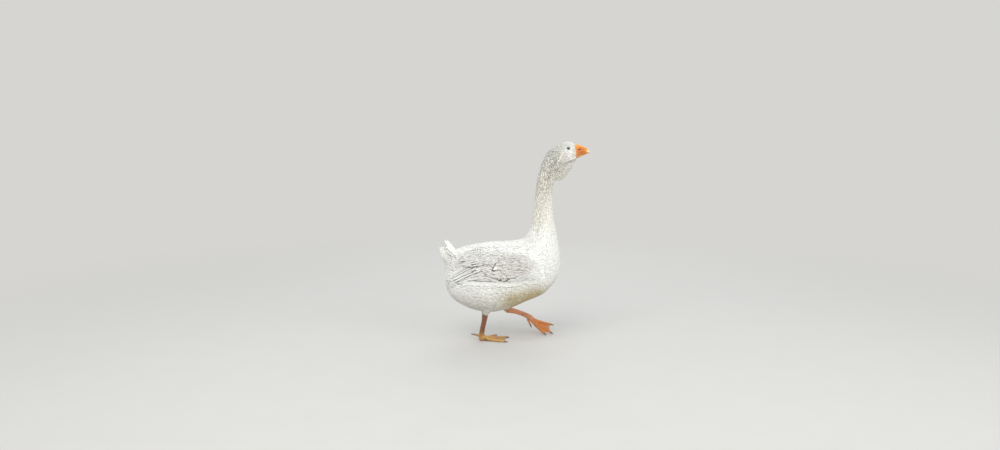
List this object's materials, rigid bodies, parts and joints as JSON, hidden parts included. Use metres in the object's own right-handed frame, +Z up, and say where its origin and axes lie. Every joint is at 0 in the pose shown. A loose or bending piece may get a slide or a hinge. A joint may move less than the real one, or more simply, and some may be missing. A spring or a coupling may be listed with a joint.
{
  "type": "domestic goose",
  "caption": "Life-size white domestic goose walking, long neck raised, chin dewlap, cocked tail, hind foot flat on the floor and fore foot landing, as a still model.",
  "frame": {"origin": "on the floor, under the middle of the bird's own box", "axes": "+X ahead, the way the bill points; +Y to the bird's left; +Z up"},
  "size_m": [0.58, 0.244, 0.7811],
  "materials": {
    "plumage": "matt white feathers",
    "bill": "satin orange horn",
    "eye": "wet gloss",
    "leg_skin": "dry scaly orange skin",
    "claw": "satin brown horn"
  },
  "bodies": {
    "root": {"trunk": "plumage", "neck": "plumage", "head": "plumage", "dewlap": "plumage", "eye_right": "eye", "eye_left": "eye", "bill_upper": "bill", "bill_lower": "bill", "wing_right_coverts": "plumage", "wing_right_secondaries": "plumage", "wing_right_primaries": "plumage", "wing_left_coverts": "plumage", "wing_left_secondaries": "plumage", "wing_left_primaries": "plumage", "tail": "plumage", "tail_coverts": "plumage", "thigh_right": "plumage", "shank_right": "leg_skin", "foot_right": "leg_skin", "claw_right_inner": "claw", "claw_right_middle": "claw", "claw_right_outer": "claw", "claw_right_hind": "claw", "thigh_left": "plumage", "shank_left": "leg_skin", "foot_left": "leg_skin", "claw_left_inner": "claw", "claw_left_middle": "claw", "claw_left_outer": "claw", "claw_left_hind": "claw"}
  },
  "joints": []
}
